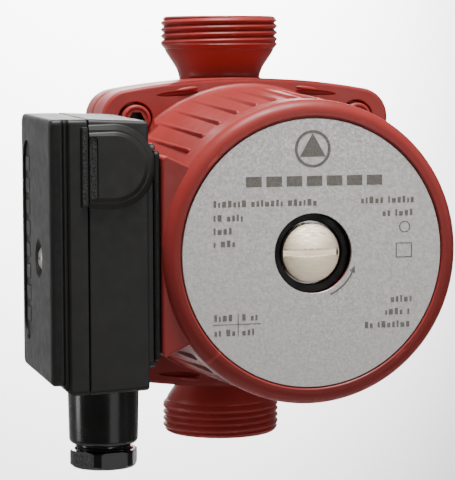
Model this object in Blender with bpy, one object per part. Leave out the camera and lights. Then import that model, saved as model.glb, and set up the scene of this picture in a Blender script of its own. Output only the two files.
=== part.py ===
"""Circulator pump for a heating circuit: a wet-rotor motor on an in-line pump housing, with a terminal box.

Frame: the origin is where the motor axis crosses the line through the two ports. +Z points along the port
line to the outlet, the motor's face looks along -Y, and the terminal box is on the -X side. Design values
are in millimetres and become metres where meshes are made.
"""

import math

import bmesh
import bpy
from mathutils import Matrix, Vector

MM = 0.001
GAP = 0.3  # clearance between touching pieces

# Ports: union threads G 1 1/4 on a 150 mm port-to-port length
PORT_HALF = 75.0
THREAD_R = 20.95
THREAD_PITCH = 2.309
THREAD_LENGTH = 10.7
PORT_FACE_R = 19.7
NECK_R = 14.6
BORE_R = 12.5

# Flange pair that clamps the motor to the housing
FLANGE_HALF_X = 50.9
FLANGE_HALF_Z = 53.3
FLANGE_CROWN_R = 244.0
FLANGE_CORNER_R = 10.0
FLANGE_BACK = -7.5
SPLIT = -20.7
FLANGE_FRONT = -38.0
BOLT_X = 39.3
BOLT_Z = 39.6

# Motor
BARREL_R = 50.4
BARREL_FRONT_R = 47.0
RING_R = 47.6
RING_FRONT = -114.6
PLATE_FACE = -114.4
PLATE_R = 41.9
PLATE_HOLE_R = 12.45
STATOR_BORE_R = 42.8
RIB_STEP = math.radians(7.5)
CORE_BACK = -53.0
CORE_FRONT = -93.0
CAN_R = 18.3
ROTOR_R = 16.9
SHAFT_R = 4.6
VENT_R = 9.34

# Volute and impeller
VOLUTE_R = 37.0
VOLUTE_BACK = -11.3
IMPELLER_R = 30.0
IMPELLER_FRONT = -19.5
IMPELLER_BACK = -12.6
EYE_R = 10.5
VANES = 6

# Terminal box on the -X side
SEAT_X = -47.4
BOX_FRONT = -110.0
BOX_BACK = -58.0
BOX_HALF_Z = 42.2
COVER_FACE = -81.9
PARTING = -69.8
BASE_RIGHT = -51.0
WALL = 2.2
LID_LOW = -39.1
LID_HIGH = 42.1
BOSS_X = -62.1
BOSS_Z = 27.7
BOSS_R = 12.1
COVER_SCREW_Y = -90.0
COVER_SCREW_Z = -1.5
COVER_SCREW = (COVER_SCREW_Y, COVER_SCREW_Z)
LEAD_Y = -99.0
BASE_SCREW_Y = -70.0
BASE_SCREW_Z = 12.0
TERMINALS = (-97.0, -87.0, -77.0)

# Cable gland under the box
GLAND_X = -61.0
GLAND_Y = -86.0
GLAND_R = 11.2
GLAND_START = -BOX_HALF_Z - 0.3
GLAND_END = -61.0
GLAND_THREAD_R = 9.0
NUT_TOP = -63.0
NUT_END = -68.5
NUT_FLATS = 20.1
NUT_R = 10.95
NUT_TURN = 8.4
NECK_HALF_Z = 34.4
GASKET_HALF_Z = 32.3
GASKET_LEFT = -49.6

AXES = {"X": Vector((1, 0, 0)), "Y": Vector((0, 1, 0)), "Z": Vector((0, 0, 1))}
OUTWARD = {"X": Vector((0, 0, 1)), "Y": Vector((1, 0, 0)), "Z": Vector((1, 0, 0))}
PLANE = {
    "X": (Vector((0, 1, 0)), Vector((0, 0, 1))),
    "Y": (Vector((1, 0, 0)), Vector((0, 0, 1))),
    "Z": (Vector((1, 0, 0)), Vector((0, 1, 0))),
}


# ---------------------------------------------------------------- helpers

def clear_scene():
    for obj in list(bpy.data.objects):
        bpy.data.objects.remove(obj, do_unlink=True)


def finish_of(name, colour, roughness, metallic=0.0):
    """A Principled material for one object."""
    material = bpy.data.materials.new(name)
    material.use_nodes = True
    shader = material.node_tree.nodes["Principled BSDF"]
    shader.inputs["Base Color"].default_value = (*colour, 1.0)
    shader.inputs["Roughness"].default_value = roughness
    shader.inputs["Metallic"].default_value = metallic
    return material


FINISHES = {
    "red": ((0.52, 0.045, 0.035), 0.4, 0.0),
    "steel": ((0.55, 0.55, 0.54), 0.3, 1.0),
    "brass": ((0.78, 0.70, 0.55), 0.28, 1.0),
    "plate": ((0.45, 0.44, 0.42), 0.45, 0.6),
    "iron": ((0.20, 0.20, 0.21), 0.5, 0.8),
    "copper": ((0.55, 0.22, 0.10), 0.4, 0.6),
    "ceramic": ((0.75, 0.74, 0.70), 0.25, 0.0),
    "carbon": ((0.04, 0.04, 0.045), 0.5, 0.0),
    "rubber": ((0.015, 0.015, 0.016), 0.7, 0.0),
    "plastic": ((0.028, 0.027, 0.026), 0.45, 0.0),
    "grey_plastic": ((0.30, 0.31, 0.32), 0.5, 0.0),
    "composite": ((0.10, 0.09, 0.08), 0.45, 0.0),
}


def add(name, bm, finish, place=(0, 0, 0)):
    """Turns a bmesh into a named object, with smooth rounds and sharp edges."""
    bmesh.ops.recalc_face_normals(bm, faces=bm.faces)
    mesh = bpy.data.meshes.new(name)
    bm.to_mesh(mesh)
    bm.free()
    mesh.shade_smooth()
    mesh.set_sharp_from_angle(angle=math.radians(32))
    obj = bpy.data.objects.new(name, mesh)
    obj.location = Vector(place) * MM
    bpy.context.collection.objects.link(obj)
    if finish:
        mesh.materials.append(finish_of(name, *FINISHES[finish]))
    return obj


def is_flat_pole(vert, along):
    """True for the centre of a flat end cap, whose fan of triangles becomes one face."""
    on_axis = vert.co.cross(along).length < 1e-7
    return on_axis and all(abs(abs(face.normal.dot(along)) - 1) < 1e-6 for face in vert.link_faces)


def turned(name, profile, finish=None, axis="Y", centre=(0, 0, 0), segments=32):
    """A solid of revolution. The profile lists (radius, station along the axis)."""
    bm = bmesh.new()
    along, out = AXES[axis], OUTWARD[axis]
    points = [bm.verts.new((out * radius + along * station) * MM) for radius, station in profile]
    edges = [bm.edges.new(pair) for pair in zip(points, points[1:])]
    if profile[0][0] > 0 or profile[-1][0] > 0:
        edges.append(bm.edges.new((points[-1], points[0])))
    bmesh.ops.spin(bm, geom=points + edges, cent=(0, 0, 0), axis=along, angle=math.tau, steps=segments,
                   use_merge=True)
    bmesh.ops.remove_doubles(bm, verts=bm.verts, dist=1e-7)
    bmesh.ops.recalc_face_normals(bm, faces=bm.faces)
    flat_poles = [vert for vert in bm.verts if is_flat_pole(vert, along)]
    bmesh.ops.dissolve_verts(bm, verts=flat_poles)
    return add(name, bm, finish, centre)


def tube(name, inner, outer, low, high, finish=None, axis="Y", centre=(0, 0, 0), segments=24):
    profile = [(inner, low), (outer, low), (outer, high), (inner, high)]
    return turned(name, profile, finish, axis, centre, segments)


def disc(name, radius, low, high, finish=None, axis="Y", centre=(0, 0, 0), segments=20):
    profile = [(0, low), (radius, low), (radius, high), (0, high)]
    return turned(name, profile, finish, axis, centre, segments)


def prism_mesh(bm, outline, axis, low, high):
    """Extrudes an outline, given in the plane across the axis, from station low to high."""
    first, second = PLANE[axis]
    points = [bm.verts.new((first * a + second * b + AXES[axis] * low) * MM) for a, b in outline]
    face = bm.faces.new(points)
    grown = bmesh.ops.extrude_face_region(bm, geom=[face])["geom"]
    moved = [item for item in grown if isinstance(item, bmesh.types.BMVert)]
    bmesh.ops.translate(bm, verts=moved, vec=AXES[axis] * (high - low) * MM)


def prism(name, outline, axis, low, high, finish=None, place=(0, 0, 0)):
    bm = bmesh.new()
    prism_mesh(bm, outline, axis, low, high)
    return add(name, bm, finish, place)


def rectangle(low, high, radius=0.0, steps=4):
    """A rectangle from corner low to corner high, with rounded corners where a radius is given."""
    if not radius:
        return [(low[0], low[1]), (high[0], low[1]), (high[0], high[1]), (low[0], high[1])]
    outline = []
    corners = ((high[0], high[1], 0), (low[0], high[1], 90), (low[0], low[1], 180), (high[0], low[1], 270))
    for x, y, start in corners:
        centre_x = x - math.copysign(radius, x - (low[0] + high[0]) / 2)
        centre_y = y - math.copysign(radius, y - (low[1] + high[1]) / 2)
        for step in range(steps + 1):
            angle = math.radians(start + 90 * step / steps)
            outline.append((centre_x + radius * math.cos(angle), centre_y + radius * math.sin(angle)))
    return outline


def hexagon(across_flats, turn=0.0):
    radius = across_flats / math.sqrt(3)
    corners = [math.radians(60 * index + turn) for index in range(6)]
    return [(radius * math.cos(angle), radius * math.sin(angle)) for angle in corners]


def rod(name, start, end, radius, segments=16):
    """A round cutter between two points."""
    start, end = Vector(start) * MM, Vector(end) * MM
    aim = (end - start).to_track_quat("Z", "Y").to_matrix().to_4x4()
    bm = bmesh.new()
    bmesh.ops.create_cone(bm, cap_ends=True, segments=segments, radius1=radius * MM, radius2=radius * MM,
                          depth=(end - start).length, matrix=Matrix.Translation((start + end) / 2) @ aim)
    return add(name, bm, None)


def combine(target, operation, *others):
    for other in others:
        modifier = target.modifiers.new(f"{operation.lower()} {other.name}", "BOOLEAN")
        modifier.operation = operation
        modifier.object = other
        other.hide_render = True
        other.display_type = "WIRE"
    return target


def unite(target, *others):
    return combine(target, "UNION", *others)


def cut(target, *others):
    return combine(target, "DIFFERENCE", *others)


def bevelled(obj, width, segments=2):
    modifier = obj.modifiers.new("edges", "BEVEL")
    modifier.width = width * MM
    modifier.segments = segments
    modifier.limit_method = "ANGLE"
    modifier.angle_limit = math.radians(40)
    return obj


# ---------------------------------------------------------------- pump housing

def flange_outline():
    """Square flange with round corners and slightly crowned top and bottom edges."""
    centre_x = FLANGE_HALF_X - FLANGE_CORNER_R
    crown_end = FLANGE_HALF_Z - 42.0**2 / (2 * FLANGE_CROWN_R)
    centre_z = crown_end - FLANGE_CORNER_R
    quarter = []
    for step in range(6):
        angle = math.radians(82 * step / 5)
        x = centre_x + FLANGE_CORNER_R * math.cos(angle)
        z = centre_z + FLANGE_CORNER_R * math.sin(angle)
        quarter.append((x, z))
    for x in (30.0, 15.0):
        quarter.append((x, FLANGE_HALF_Z - x**2 / (2 * FLANGE_CROWN_R)))
    left = [(-x, z) for x, z in reversed(quarter)]
    top = quarter + [(0.0, FLANGE_HALF_Z)] + left
    return top + [(-x, -z) for x, z in top]


def port(name, side):
    """Threaded union port with its flare and neck; side is +1 for the outlet and -1 for the inlet."""
    thread_end = PORT_HALF - THREAD_LENGTH
    outer = [(0, 20.0), (NECK_R, 20.0), (NECK_R, 52.0), (15.4, 55.5), (17.6, 59.5), (20.0, 62.8)]
    station = thread_end
    while station + THREAD_PITCH < PORT_HALF - 0.8:
        outer += [(THREAD_R, station), (THREAD_R - 1.2, station + THREAD_PITCH / 2)]
        station += THREAD_PITCH
    outer += [(THREAD_R, PORT_HALF - 1.2), (PORT_FACE_R, PORT_HALF), (0, PORT_HALF)]
    return turned(name, [(radius, side * z) for radius, z in outer], axis="Z", segments=28)


def bolt_places():
    names = (("top_left", -1, 1), ("top_right", 1, 1), ("bottom_right", 1, -1), ("bottom_left", -1, -1))
    return [(name, sign_x * BOLT_X, sign_z * BOLT_Z) for name, sign_x, sign_z in names]


def make_pump_housing():
    housing = prism("pump_housing", flange_outline(), "Y", SPLIT, FLANGE_BACK, "red")
    belly = [(0, 26.0), (15.0, 25.0), (27.0, 20.5), (36.0, 12.5), (41.5, 3.0), (43.5, FLANGE_BACK - 3),
             (0, FLANGE_BACK - 3)]
    unite(housing, turned("housing_belly", belly), port("outlet_port", 1), port("inlet_port", -1))
    cut(housing, disc("volute", VOLUTE_R, SPLIT - 2, VOLUTE_BACK, segments=32))
    cut(housing, disc("ring_seat", 14.3, VOLUTE_BACK - 2, -8.3))
    cut(housing, disc("suction_chamber", BORE_R, -9.0, 13.0))
    cut(housing, disc("outlet_bore", BORE_R, 54.0, 80.0, axis="Z"))
    cut(housing, disc("inlet_bore", BORE_R, -80.0, -54.0, axis="Z"))
    cut(housing, rod("outlet_passage", (0, -15.5, 29), (0, 0, 57), 7.5))
    cut(housing, rod("inlet_passage", (0, 5.5, -8), (0, 0, -57), 9.0))
    for name, x, z in bolt_places():
        cut(housing, disc(f"tapped_hole_{name}", 3.3, SPLIT - 2, -9.5, centre=(x, 0, z), segments=12))
    tube("neck_ring", 12.5, 14.0, VOLUTE_BACK + 0.2, -8.6, "steel")
    tube("housing_gasket", 39.0, 42.3, SPLIT - 2.8, SPLIT - GAP, "rubber")


# ---------------------------------------------------------------- motor

def barrel_radius(station):
    """Outer radius of the tapered barrel between the flange and the front ring."""
    share = (station + 44.0) / (-98.0 + 44.0)
    return BARREL_R + (BARREL_FRONT_R - BARREL_R) * share


def cooling_ribs():
    """Thin ribs along the barrel, left out where the terminal box seats."""
    bm = bmesh.new()
    back, front = FLANGE_FRONT - 9.0, -96.0
    for index in range(48):
        angle = index * RIB_STEP + RIB_STEP / 2
        if abs(angle - math.pi) < math.radians(42):
            continue
        outline = []
        for station, lift in ((back, -1.5), (front, -1.5), (front, 0.6), (front + 1.2, 1.0), (back, 1.0)):
            outline.append((barrel_radius(station) + lift, station))
        points = [bm.verts.new(Vector((radius, station, -0.55)) * MM) for radius, station in outline]
        face = bm.faces.new(points)
        grown = bmesh.ops.extrude_face_region(bm, geom=[face])["geom"]
        moved = [item for item in grown if isinstance(item, bmesh.types.BMVert)]
        bmesh.ops.translate(bm, verts=moved, vec=Vector((0, 0, 1.1 * MM)))
        bmesh.ops.rotate(bm, verts=points + moved, cent=(0, 0, 0), matrix=Matrix.Rotation(-angle, 3, "Y"))
    return add("cooling_ribs", bm, None)


def make_stator_housing():
    housing = prism("stator_housing", flange_outline(), "Y", FLANGE_FRONT, SPLIT - 0.2, "red")
    barrel = [(0, -30.0), (BARREL_R, -30.0), (BARREL_R, -44.0), (BARREL_FRONT_R, -97.5), (RING_R, -99.0),
              (RING_R, -111.0), (47.0, -112.4), (45.7, -113.6), (43.9, -114.3), (42.9, RING_FRONT),
              (PLATE_R + GAP, PLATE_FACE), (PLATE_R + GAP, PLATE_FACE + 1.1), (0, PLATE_FACE + 1.1)]
    seat = [(SEAT_X, 31.5), (SEAT_X, -31.5), (-36.0, -26.3), (-36.0, 26.3)]
    unite(housing, turned("barrel", barrel, segments=48), cooling_ribs())
    unite(housing, prism("terminal_seat", seat, "Y", -111.8, -60.0))
    cut(housing, prism("seat_face", rectangle((-60.0, -38.0), (SEAT_X, 38.0)), "Y", -116.0, BOX_BACK + 0.8))
    inside = [(0, -18.0), (STATOR_BORE_R, -18.0), (STATOR_BORE_R, -108.5), (41.8, -109.5), (12.9, -109.5),
              (12.9, -117.0), (0, -117.0)]
    cut(housing, turned("stator_bore", inside, segments=36))
    for name, x, z in bolt_places():
        cut(housing, disc(f"counterbore_{name}", 6.0, -46.0, -33.7, centre=(x, 0, z), segments=18))
        cut(housing, disc(f"bolt_hole_{name}", 3.4, -36.0, -18.0, centre=(x, 0, z), segments=12))
    cut(housing, rod("lead_hole", (-50, LEAD_Y, 0), (-40, LEAD_Y, 0), 4.0, 16))
    for side, sign in (("upper", 1), ("lower", -1)):
        hole_z = sign * BASE_SCREW_Z
        start, end = (-50, BASE_SCREW_Y, hole_z), (-42.4, BASE_SCREW_Y, hole_z)
        cut(housing, rod(f"base_tapping_{side}", start, end, 2.3, 12))


def make_cap_screws():
    """M6 socket head cap screws that clamp the motor to the pump housing."""
    profile = [(0, -40.0), (4.5, -40.0), (5.0, -39.5), (5.0, -34.0), (3.0, -34.0), (3.0, -11.0), (0, -11.0)]
    for name, x, z in bolt_places():
        screw = turned(f"cap_screw_{name}", profile, "red", centre=(x, 0, z), segments=16)
        cut(screw, prism(f"socket_{name}", hexagon(5.0), "Y", -42.0, -37.0, place=(x, 0, z)))


def make_stator():
    tube("stator_core", 18.9, 42.5, CORE_FRONT, CORE_BACK, "iron", segments=32)
    ends = (("winding_front", CORE_FRONT - GAP, -104.0), ("winding_rear", -42.0, CORE_BACK + GAP))
    for name, back, front in ends:
        middle = (back + front) / 2
        profile = [(24.0, back), (38.0, back), (40.0, middle), (38.0, front), (24.0, front)]
        turned(name, profile, "copper", segments=24)
    tube("nameplate", PLATE_HOLE_R, PLATE_R, PLATE_FACE, PLATE_FACE + 0.8, "plate", segments=48)
    tube("vent_recess_ring", 9.9, 12.6, -111.6, -109.4, "rubber")


def make_rotor_can():
    """Thin stainless can that keeps the water away from the windings, and the plate that closes it."""
    can = [(11.4, -109.1), (11.4, -96.2), (CAN_R, -95.2), (CAN_R, -24.6), (42.4, -24.6), (42.4, -23.8),
           (17.5, -23.8), (17.5, -94.4), (10.7, -95.2), (10.7, -103.2), (6.7, -103.2), (6.7, -109.1)]
    turned("rotor_can", can, "steel", segments=24)
    plate = [(10.0, -31.0), (11.8, -31.0), (11.8, -23.5), (38.5, -23.5), (38.5, -22.6), (10.0, -22.6)]
    turned("bearing_plate", plate, "steel", segments=24)
    tube("outboard_bearing", SHAFT_R + GAP, 10.4, -102.9, -96.0, "ceramic", segments=20)
    tube("inboard_bearing", SHAFT_R + GAP, 9.7, -30.6, -23.0, "ceramic", segments=20)


def make_vent_screw():
    """Slotted plug in the end of the can, which lets air out and gives access to the shaft end."""
    profile = [(0, -112.1), (8.9, -112.1), (VENT_R, -111.7), (VENT_R, -110.6), (6.3, -110.6), (6.3, -103.9),
               (0, -103.9)]
    screw = turned("vent_screw", profile, "brass", segments=24)
    slot = rectangle((-10.0, -0.8), (10.0, 0.8))
    cut(screw, prism("vent_slot", slot, "Y", -114.0, -111.2))
    tube("vent_seal", 6.6, 8.8, -110.3, -109.4, "rubber")


# ---------------------------------------------------------------- rotating parts

def vane_outline(start):
    """One backward-curved vane between the hub and the rim."""
    front_edge, back_edge = [], []
    for step in range(5):
        share = step / 4
        radius = EYE_R + 0.5 + (IMPELLER_R - 1.5 - EYE_R) * share
        angle = start + math.radians(58) * share
        half_width = 0.8 / radius
        front_edge.append((radius * math.cos(angle + half_width), radius * math.sin(angle + half_width)))
        back_edge.append((radius * math.cos(angle - half_width), radius * math.sin(angle - half_width)))
    return front_edge + back_edge[::-1]


def make_rotating_parts():
    profile = [(1.5, -102.6), (SHAFT_R, -102.6), (SHAFT_R, -11.5), (1.5, -11.5)]
    turned("shaft", profile, "ceramic", segments=20)
    rotor = [(SHAFT_R + GAP, -92.0), (15.9, -92.0), (ROTOR_R, -91.0), (ROTOR_R, -55.0), (15.9, -54.0),
             (SHAFT_R + GAP, -54.0)]
    turned("rotor", rotor, "steel", segments=24)
    tube("thrust_bearing", SHAFT_R + GAP, 9.5, -35.0, -31.4, "carbon", segments=20)
    front = [(SHAFT_R + GAP, IMPELLER_FRONT), (IMPELLER_R, IMPELLER_FRONT),
             (IMPELLER_R, IMPELLER_FRONT + 1.4), (8.5, IMPELLER_FRONT + 1.4), (7.0, -12.0),
             (SHAFT_R + GAP, -12.0)]
    impeller = turned("impeller", front, "composite", segments=28)
    back = [(EYE_R, -14.2), (IMPELLER_R, -14.0), (IMPELLER_R, IMPELLER_BACK), (12.1, IMPELLER_BACK),
            (12.1, -9.5), (EYE_R, -9.5)]
    bm = bmesh.new()
    for index in range(VANES):
        prism_mesh(bm, vane_outline(math.tau * index / VANES), "Y", IMPELLER_FRONT + 1.0, -13.4)
    unite(impeller, add("vanes", bm, None), turned("back_shroud", back, segments=28))


# ---------------------------------------------------------------- terminal box

def half_round(centre_x, centre_z, radius, left):
    """D-shaped outline: a half circle to the right of the centre and straight edges to x = left."""
    arc = []
    for step in range(13):
        angle = math.radians(-90 + 15 * step)
        arc.append((centre_x + radius * math.cos(angle), centre_z + radius * math.sin(angle)))
    return [(left, centre_z - radius)] + arc + [(left, centre_z + radius)]


def make_box_base():
    left = PARTING + GAP / 2
    shell = rectangle((BOX_FRONT, -BOX_HALF_Z), (BOX_BACK, BOX_HALF_Z), 1.6)
    base = prism("terminal_box_base", shell, "X", left, BASE_RIGHT, "plastic")
    neck = rectangle((BOX_FRONT + 0.4, -NECK_HALF_Z), (BOX_BACK - 2.0, NECK_HALF_Z), 2.0)
    rebate = rectangle((BOX_FRONT - 2.0, -GASKET_HALF_Z - GAP), (BOX_BACK + 2.0, GASKET_HALF_Z + GAP))
    gland = [(0, GLAND_END - 4.3), (8.6, GLAND_END - 4.3), (GLAND_THREAD_R, GLAND_END - 3.9),
             (GLAND_THREAD_R, GLAND_END), (10.4, GLAND_END), (GLAND_R, GLAND_END + 0.9),
             (GLAND_R, GLAND_START), (8.5, GLAND_START), (8.5, GLAND_START + 1.5), (0, GLAND_START + 1.5)]
    centre = (GLAND_X, GLAND_Y, 0)
    unite(base, prism("base_neck", neck, "X", BASE_RIGHT - 0.5, SEAT_X - 1.5))
    cut(base, prism("gasket_rebate", rebate, "X", GASKET_LEFT - GAP, SEAT_X - 1.0))
    unite(base, prism("front_boss", half_round(BOSS_X, BOSS_Z, BOSS_R, left), "Y", -111.0, BOX_FRONT + 0.5))
    unite(base, prism("inner_boss", half_round(BOSS_X, BOSS_Z, 10.0, left), "Y", -111.7, BOX_FRONT + 0.5))
    unite(base, turned("gland_body", gland, axis="Z", centre=centre, segments=24))
    room = rectangle((BOX_FRONT + WALL, -BOX_HALF_Z + WALL), (BOX_BACK - WALL, BOX_HALF_Z - WALL), 1.0)
    cut(base, prism("base_room", room, "X", left - 2, BASE_RIGHT - WALL))
    cut(base, disc("cable_bore", 6.5, -75.0, -38.0, axis="Z", centre=centre))
    cut(base, disc("seal_seat", 7.9, -75.0, -58.0, axis="Z", centre=centre))
    post = rod("screw_post", (BASE_RIGHT - 1, *COVER_SCREW), (-70.6, *COVER_SCREW), 4.0, 16)
    unite(base, post)
    cut(base, rod("post_hole", (-60.0, *COVER_SCREW), (-73, *COVER_SCREW), 1.8, 14))
    cut(base, rod("base_lead_hole", (-46, LEAD_Y, 0), (-56, LEAD_Y, 0), 4.0, 16))
    cut(base, rod("earth_hole", (-50.0, -78, 2), (-56, -78, 2), 2.1, 12))
    for side, sign in (("upper", 1), ("lower", -1)):
        hole_z = sign * BASE_SCREW_Z
        start, end = (-46, BASE_SCREW_Y, hole_z), (-56, BASE_SCREW_Y, hole_z)
        cut(base, rod(f"base_hole_{side}", start, end, 2.3, 12))


def make_base_fixings():
    outline = rectangle((BOX_FRONT - 0.4, -GASKET_HALF_Z), (BOX_BACK - 3.0, GASKET_HALF_Z), 3.0)
    gasket = prism("base_gasket", outline, "X", GASKET_LEFT, SEAT_X - GAP, "rubber")
    cut(gasket, rod("gasket_lead_hole", (-46, LEAD_Y, 0), (-52, LEAD_Y, 0), 4.0, 16))
    for side, sign in (("upper", 1), ("lower", -1)):
        hole_z = sign * BASE_SCREW_Z
        start, end = (-46, BASE_SCREW_Y, hole_z), (-52, BASE_SCREW_Y, hole_z)
        cut(gasket, rod(f"gasket_hole_{side}", start, end, 2.3, 12))
        profile = [(0, -56.0), (3.2, -56.0), (3.5, -55.4), (3.5, -53.5), (2.0, -53.5), (2.0, -43.0),
                   (0, -43.0)]
        turned(f"base_screw_{side}", profile, "steel", "X", (0, BASE_SCREW_Y, hole_z), 16)
    profile = [(0, -56.0), (3.0, -56.0), (3.3, -55.5), (3.3, -53.5), (1.8, -53.5), (1.8, -50.5), (0, -50.5)]
    turned("earth_screw", profile, "brass", axis="X", centre=(0, -78, 2), segments=16)


def make_cover():
    right = PARTING - GAP / 2
    rim = rectangle((BOX_FRONT, -BOX_HALF_Z), (BOX_BACK, BOX_HALF_Z), 1.6)
    lid = rectangle((BOX_FRONT, LID_LOW), (BOX_BACK, LID_HIGH), 1.6)
    cover = prism("terminal_cover", rim, "X", -76.0, right, "plastic")
    lid_block = bevelled(prism("lid", lid, "X", COVER_FACE, -75.5), 1.0)
    strip = rectangle((-72.0, BOSS_Z - BOSS_R), (right, BOSS_Z + BOSS_R))
    unite(cover, lid_block, prism("cover_strip", strip, "Y", -111.0, BOX_FRONT + 0.5))
    room = rectangle((BOX_FRONT + WALL, LID_LOW + WALL), (BOX_BACK - WALL, LID_HIGH - WALL), 1.0)
    cut(cover, prism("cover_room", room, "X", COVER_FACE + WALL, right + 2))
    axis_point = (COVER_SCREW_Y, COVER_SCREW_Z)
    unite(cover, rod("screw_sleeve", (-80.5, *axis_point), (-71.0, *axis_point), 6.6, 20))
    cut(cover, rod("screw_recess", (-84.0, *axis_point), (-79.6, *axis_point), 5.0, 20))
    cut(cover, rod("screw_hole", (-82.0, *axis_point), (-68.0, *axis_point), 1.9, 14))
    panel = rectangle((-75.0, -29.0), (-62.5, 31.0), 6.2, 6)
    cut(cover, prism("panel_recess", panel, "X", COVER_FACE - 2, COVER_FACE + 0.8))
    head = [(0, -81.5), (2.6, -81.5), (3.3, -80.9), (3.3, -79.9), (1.5, -79.9), (1.5, -62.0), (0, -62.0)]
    screw = turned("cover_screw", head, "steel", axis="X", centre=(0, *axis_point), segments=20)
    for name, high, wide in (("cross_upright", 2.0, 0.4), ("cross_level", 0.4, 2.0)):
        arm = rectangle((-wide, -high), (wide, high))
        cut(screw, prism(name, arm, "X", -83.0, -80.4, place=(0, *axis_point)))


def make_box_contents():
    profile = [(0, -106.0), (9.2, -106.0), (10.0, -105.2), (10.0, -64.8), (9.2, -64.0), (0, -64.0)]
    turned("capacitor", profile, "grey_plastic", centre=(-63.7, 0, 27.5), segments=20)
    angles = [math.radians(degrees) for degrees in range(50, 311, 20)]
    outer = [(11.4 * math.cos(angle), 11.4 * math.sin(angle)) for angle in angles]
    inner = [(10.5 * math.cos(angle), 10.5 * math.sin(angle)) for angle in reversed(angles)]
    foot = 10.2
    feet = [(foot, outer[-1][1]), (foot, inner[0][1])]
    clip = [(foot, outer[0][1])] + outer + feet + inner + [(foot, inner[-1][1])]
    prism("capacitor_clip", clip, "Y", -88.0, -82.0, "steel", (-63.7, 0, 27.5))
    body = rectangle((-104.0, -33.0), (-70.0, -17.0), 1.0, 2)
    block = prism("terminal_block", body, "X", -62.0, -53.5, "composite")
    for number, y in enumerate(TERMINALS, 1):
        cut(block, rod(f"terminal_hole_{number}", (-56.0, y, -25), (-64, y, -25), 2.6, 14))
        screw = disc(f"terminal_screw_{number}", 2.2, -61.5, -56.3, "brass", "X", (0, y, -25), 14)
        slot = rectangle((-3.0, -0.35), (3.0, 0.35))
        cut(screw, prism(f"terminal_slot_{number}", slot, "X", -63.0, -60.7, place=(0, y, -25)))


def make_lead_sleeve():
    """Sleeved winding leads, held from the stator bore to the terminal block."""
    route = [(-41.5, LEAD_Y, 0), (-44, LEAD_Y, 0), (-46.5, LEAD_Y, 0), (-49, LEAD_Y, 0), (-51.5, LEAD_Y, 0),
             (-54, -98.9, -0.6), (-56.4, -98.6, -2.2), (-58.3, -98.2, -4.6), (-59.4, -97.8, -7.4),
             (-59.8, -97.4, -10.4), (-59.8, -97.1, -13.4), (-59.8, -97, -16.5)]
    curve = bpy.data.curves.new("lead_sleeve", "CURVE")
    curve.dimensions = "3D"
    spline = curve.splines.new("POLY")
    spline.points.add(len(route) - 1)
    for point, place in zip(spline.points, route):
        point.co = (*(Vector(place) * MM), 1.0)
    curve.bevel_depth = 2.2 * MM
    curve.bevel_resolution = 2
    curve.use_fill_caps = True
    curve.materials.append(finish_of("lead_sleeve", *FINISHES["grey_plastic"]))
    bpy.context.collection.objects.link(bpy.data.objects.new("lead_sleeve", curve))


def make_gland():
    """Compression nut, clamp ring and rubber seal of the cable gland."""
    centre = (GLAND_X, GLAND_Y, 0)
    nut = prism("gland_nut", hexagon(NUT_FLATS, NUT_TURN), "Z", NUT_END, NUT_TOP, "plastic", centre)
    cut(nut, tube("nut_corners", NUT_R, NUT_R + 2, NUT_END - 1, NUT_TOP + 1, None, "Z", centre))
    cut(nut, disc("nut_thread", GLAND_THREAD_R + 0.3, NUT_END + 1.6, NUT_TOP + 2, axis="Z", centre=centre))
    cut(nut, disc("nut_mouth", 5.6, NUT_END - 2, NUT_END + 3, axis="Z", centre=centre))
    tube("gland_seal", 4.5, 7.6, -65.2, -58.3, "rubber", "Z", centre, 24)
    tube("clamp_ring", 4.7, 7.8, -66.5, -65.5, "plastic", "Z", centre, 24)


def main():
    clear_scene()
    make_pump_housing()
    make_stator_housing()
    make_cap_screws()
    make_stator()
    make_rotor_can()
    make_vent_screw()
    make_rotating_parts()
    make_box_base()
    make_base_fixings()
    make_cover()
    make_box_contents()
    make_lead_sleeve()
    make_gland()


main()
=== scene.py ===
import math

import bmesh
import bpy
from mathutils import Matrix, Vector


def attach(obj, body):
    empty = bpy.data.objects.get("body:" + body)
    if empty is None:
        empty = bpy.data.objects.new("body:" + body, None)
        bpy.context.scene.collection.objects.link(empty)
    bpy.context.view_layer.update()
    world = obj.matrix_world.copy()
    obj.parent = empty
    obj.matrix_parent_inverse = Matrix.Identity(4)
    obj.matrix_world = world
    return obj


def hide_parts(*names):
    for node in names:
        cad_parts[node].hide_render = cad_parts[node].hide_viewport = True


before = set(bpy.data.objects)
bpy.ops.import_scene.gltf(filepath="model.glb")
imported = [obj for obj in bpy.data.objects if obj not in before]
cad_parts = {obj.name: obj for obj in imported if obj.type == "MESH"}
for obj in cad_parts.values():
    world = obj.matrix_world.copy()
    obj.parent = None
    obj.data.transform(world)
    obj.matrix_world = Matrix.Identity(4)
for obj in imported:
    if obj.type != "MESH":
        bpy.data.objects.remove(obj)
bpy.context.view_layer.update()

MM = 0.001

# Driving sizes in millimetres, in the frame of the CAD model: +Z along the ports, the motor faces -Y, and the
# terminal box is at -X
PORT_HALF = 75.0
THREAD_R = 20.95
THREAD_PITCH = 2.309
THREAD_START = 63.6
PORT_FACE_R = 19.7
NECK_R = 14.6
BORE_R = 12.5
FLANGE_HALF_X = 50.9
FLANGE_HALF_Z = 53.3
FLANGE_CROWN_R = 244.0
FLANGE_CORNER_R = 10.0
FLANGE_BACK = -7.5
SPLIT = -20.7
FLANGE_FRONT = -38.0
TRIM_R = 58.0  # the disc that is trimmed to the flange's outline
BOLT_X = 39.3
BOLT_Z = 39.6
BARREL_R = 50.2
BARREL_FRONT_R = 47.0
RING_R = 47.6
STATOR_BORE_R = 42.8
PLATE_FACE = -114.4
INK_FRONT = PLATE_FACE - 0.06
INK_BACK = PLATE_FACE + 0.02
PLATE_R = 41.9
PLATE_HOLE_R = 12.45
VENT_R = 9.34
SEAT_X = -47.4
BOX_FRONT = -110.0
BOX_BACK = -58.0
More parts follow.
